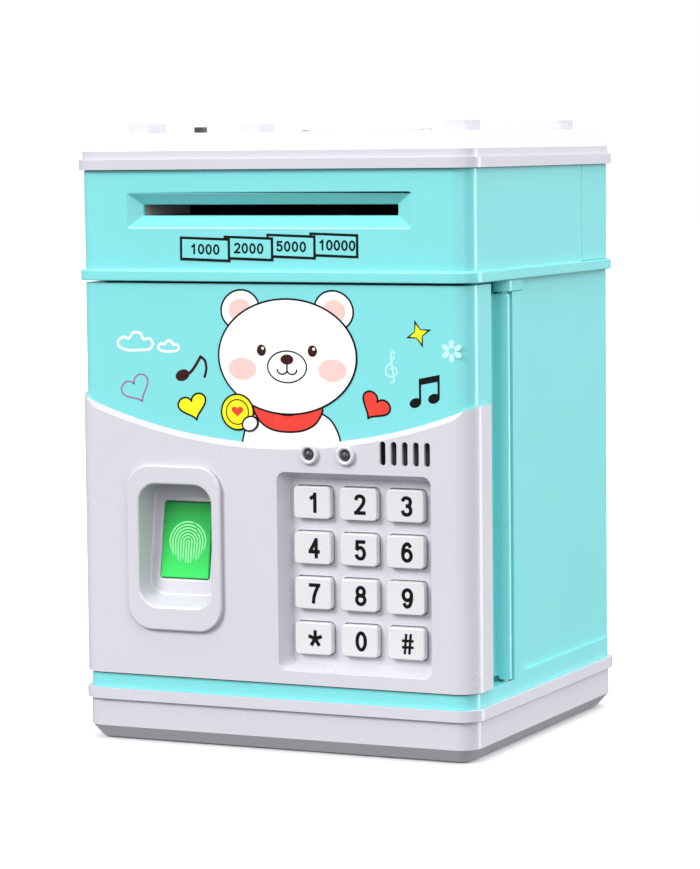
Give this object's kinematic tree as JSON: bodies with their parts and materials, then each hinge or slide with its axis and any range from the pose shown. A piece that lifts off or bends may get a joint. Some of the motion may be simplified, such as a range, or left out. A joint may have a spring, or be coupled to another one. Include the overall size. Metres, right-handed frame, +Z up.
{
  "type": "toy atm savings bank",
  "caption": "Toy cash-machine money box: cyan case on a grey base, hinged front door with keypad, fingerprint button and lamps, motor-fed note slot and a coin slot in the lid.",
  "frame": {"origin": "middle of the underside, on the surface the feet stand on", "axes": "+Z up, -Y towards the front with the door, +X towards the hinge side"},
  "size_m": [0.132, 0.1212, 0.1882],
  "materials": {
    "cyan_plastic": "smooth, semi-gloss",
    "grey_plastic": "smooth, satin",
    "white_plastic": "matt",
    "key_plastic": "satin",
    "ring_plastic": "gloss",
    "steel": "bright zinc",
    "brass": "machined",
    "rubber": "matt",
    "black_plastic": "matt",
    "lamp_plastic": "gloss",
    "circuit_board": "solder resist",
    "battery_skin": "gloss sleeve",
    "green_window": "lit translucent plastic"
  },
  "bodies": {
    "case": {"base_tray": "grey_plastic", "base_feet": "rubber", "case_shell": "cyan_plastic", "case_screws": "steel", "upper_housing": "cyan_plastic", "rear_cover": "cyan_plastic", "top_lid": "grey_plastic", "lid_stud": "black_plastic", "coin_slot_bezel": "steel", "coin_chute": "white_plastic", "note_guide_lower": "black_plastic", "note_guide_upper": "black_plastic", "feeder_frame": "white_plastic", "feed_motor": "steel", "note_sensor": "circuit_board", "lock_solenoid": "steel", "battery_box": "black_plastic", "batteries": "battery_skin", "battery_contacts": "steel", "hinge_pin": "steel"},
    "door": {"door_shell": "cyan_plastic", "door_fascia": "grey_plastic", "door_back_cover": "cyan_plastic", "door_screws": "steel", "hinge_barrel": "cyan_plastic", "fingerprint_frame": "grey_plastic", "fingerprint_board": "circuit_board", "lamp_rings": "ring_plastic", "status_lamps": "lamp_plastic", "speaker": "black_plastic", "keypad_mat": "rubber", "control_board": "circuit_board", "bolt_keeper": "steel"},
    "feed_shaft_set": {"feed_shaft": "steel", "feed_rollers": "rubber", "feed_gear": "white_plastic"},
    "pinch_shaft_set": {"pinch_shaft": "steel", "pinch_rollers": "rubber"},
    "motor_rotor": {"motor_shaft": "steel", "motor_pinion": "brass"},
    "door_bolt": {"lock_bolt": "steel", "bolt_spring": "steel"},
    "battery_hatch": {"battery_door": "cyan_plastic"},
    "finger_button": {"fingerprint_window": "green_window"},
    "key_1_button": {"key_1": "key_plastic"},
    "key_2_button": {"key_2": "key_plastic"},
    "key_3_button": {"key_3": "key_plastic"},
    "key_4_button": {"key_4": "key_plastic"},
    "key_5_button": {"key_5": "key_plastic"},
    "key_6_button": {"key_6": "key_plastic"},
    "key_7_button": {"key_7": "key_plastic"},
    "key_8_button": {"key_8": "key_plastic"},
    "key_9_button": {"key_9": "key_plastic"},
    "key_star_button": {"key_star": "key_plastic"},
    "key_0_button": {"key_0": "key_plastic"},
    "key_hash_button": {"key_hash": "key_plastic"}
  },
  "joints": [
    {"name": "door_swing", "type": "hinge", "parent": "case", "child": "door", "pos_m": [0.0624, -0.0285, 0.08], "axis": [0, 0, 1], "range_deg": [0, 105]},
    {"name": "feed_spin", "type": "hinge", "parent": "case", "child": "feed_shaft_set", "pos_m": [0, -0.0305, 0.15665], "axis": [1, 0, 0], "continuous": true},
    {"name": "pinch_spin", "type": "hinge", "parent": "case", "child": "pinch_shaft_set", "pos_m": [0, -0.0305, 0.16635], "axis": [1, 0, 0], "continuous": true},
    {"name": "motor_spin", "type": "hinge", "parent": "case", "child": "motor_rotor", "pos_m": [0.04, -0.04323, 0.15145], "axis": [1, 0, 0], "continuous": true},
    {"name": "bolt_slide", "type": "slide", "parent": "case", "child": "door_bolt", "axis": [0, 0, -1], "range_m": [0, 0.007], "stiffness_N_per_m": 60, "springref_m": 0.007, "deforming": ["bolt_spring"]},
    {"name": "battery_hatch_slide", "type": "slide", "parent": "case", "child": "battery_hatch", "axis": [0, 0, 1], "range_m": [0, 0.048]},
    {"name": "finger_press", "type": "slide", "parent": "door", "child": "finger_button", "axis": [0, 0.9877, -0.1564], "range_m": [0, 0.0007], "stiffness_N_per_m": 80},
    {"name": "key_1_press", "type": "slide", "parent": "door", "child": "key_1_button", "axis": [0, 1, 0], "range_m": [0, 0.0012], "stiffness_N_per_m": 80},
    {"name": "key_2_press", "type": "slide", "parent": "door", "child": "key_2_button", "axis": [0, 1, 0], "range_m": [0, 0.0012], "stiffness_N_per_m": 80},
    {"name": "key_3_press", "type": "slide", "parent": "door", "child": "key_3_button", "axis": [0, 1, 0], "range_m": [0, 0.0012], "stiffness_N_per_m": 80},
    {"name": "key_4_press", "type": "slide", "parent": "door", "child": "key_4_button", "axis": [0, 1, 0], "range_m": [0, 0.0012], "stiffness_N_per_m": 80},
    {"name": "key_5_press", "type": "slide", "parent": "door", "child": "key_5_button", "axis": [0, 1, 0], "range_m": [0, 0.0012], "stiffness_N_per_m": 80},
    {"name": "key_6_press", "type": "slide", "parent": "door", "child": "key_6_button", "axis": [0, 1, 0], "range_m": [0, 0.0012], "stiffness_N_per_m": 80},
    {"name": "key_7_press", "type": "slide", "parent": "door", "child": "key_7_button", "axis": [0, 1, 0], "range_m": [0, 0.0012], "stiffness_N_per_m": 80},
    {"name": "key_8_press", "type": "slide", "parent": "door", "child": "key_8_button", "axis": [0, 1, 0], "range_m": [0, 0.0012], "stiffness_N_per_m": 80},
    {"name": "key_9_press", "type": "slide", "parent": "door", "child": "key_9_button", "axis": [0, 1, 0], "range_m": [0, 0.0012], "stiffness_N_per_m": 80},
    {"name": "key_star_press", "type": "slide", "parent": "door", "child": "key_star_button", "axis": [0, 1, 0], "range_m": [0, 0.0012], "stiffness_N_per_m": 80},
    {"name": "key_0_press", "type": "slide", "parent": "door", "child": "key_0_button", "axis": [0, 1, 0], "range_m": [0, 0.0012], "stiffness_N_per_m": 80},
    {"name": "key_hash_press", "type": "slide", "parent": "door", "child": "key_hash_button", "axis": [0, 1, 0], "range_m": [0, 0.0012], "stiffness_N_per_m": 80}
  ],
  "couplings": [
    {"joint": "motor_spin", "follows": "feed_spin", "ratio": -4},
    {"joint": "pinch_spin", "follows": "feed_spin", "ratio": -1.4103}
  ]
}
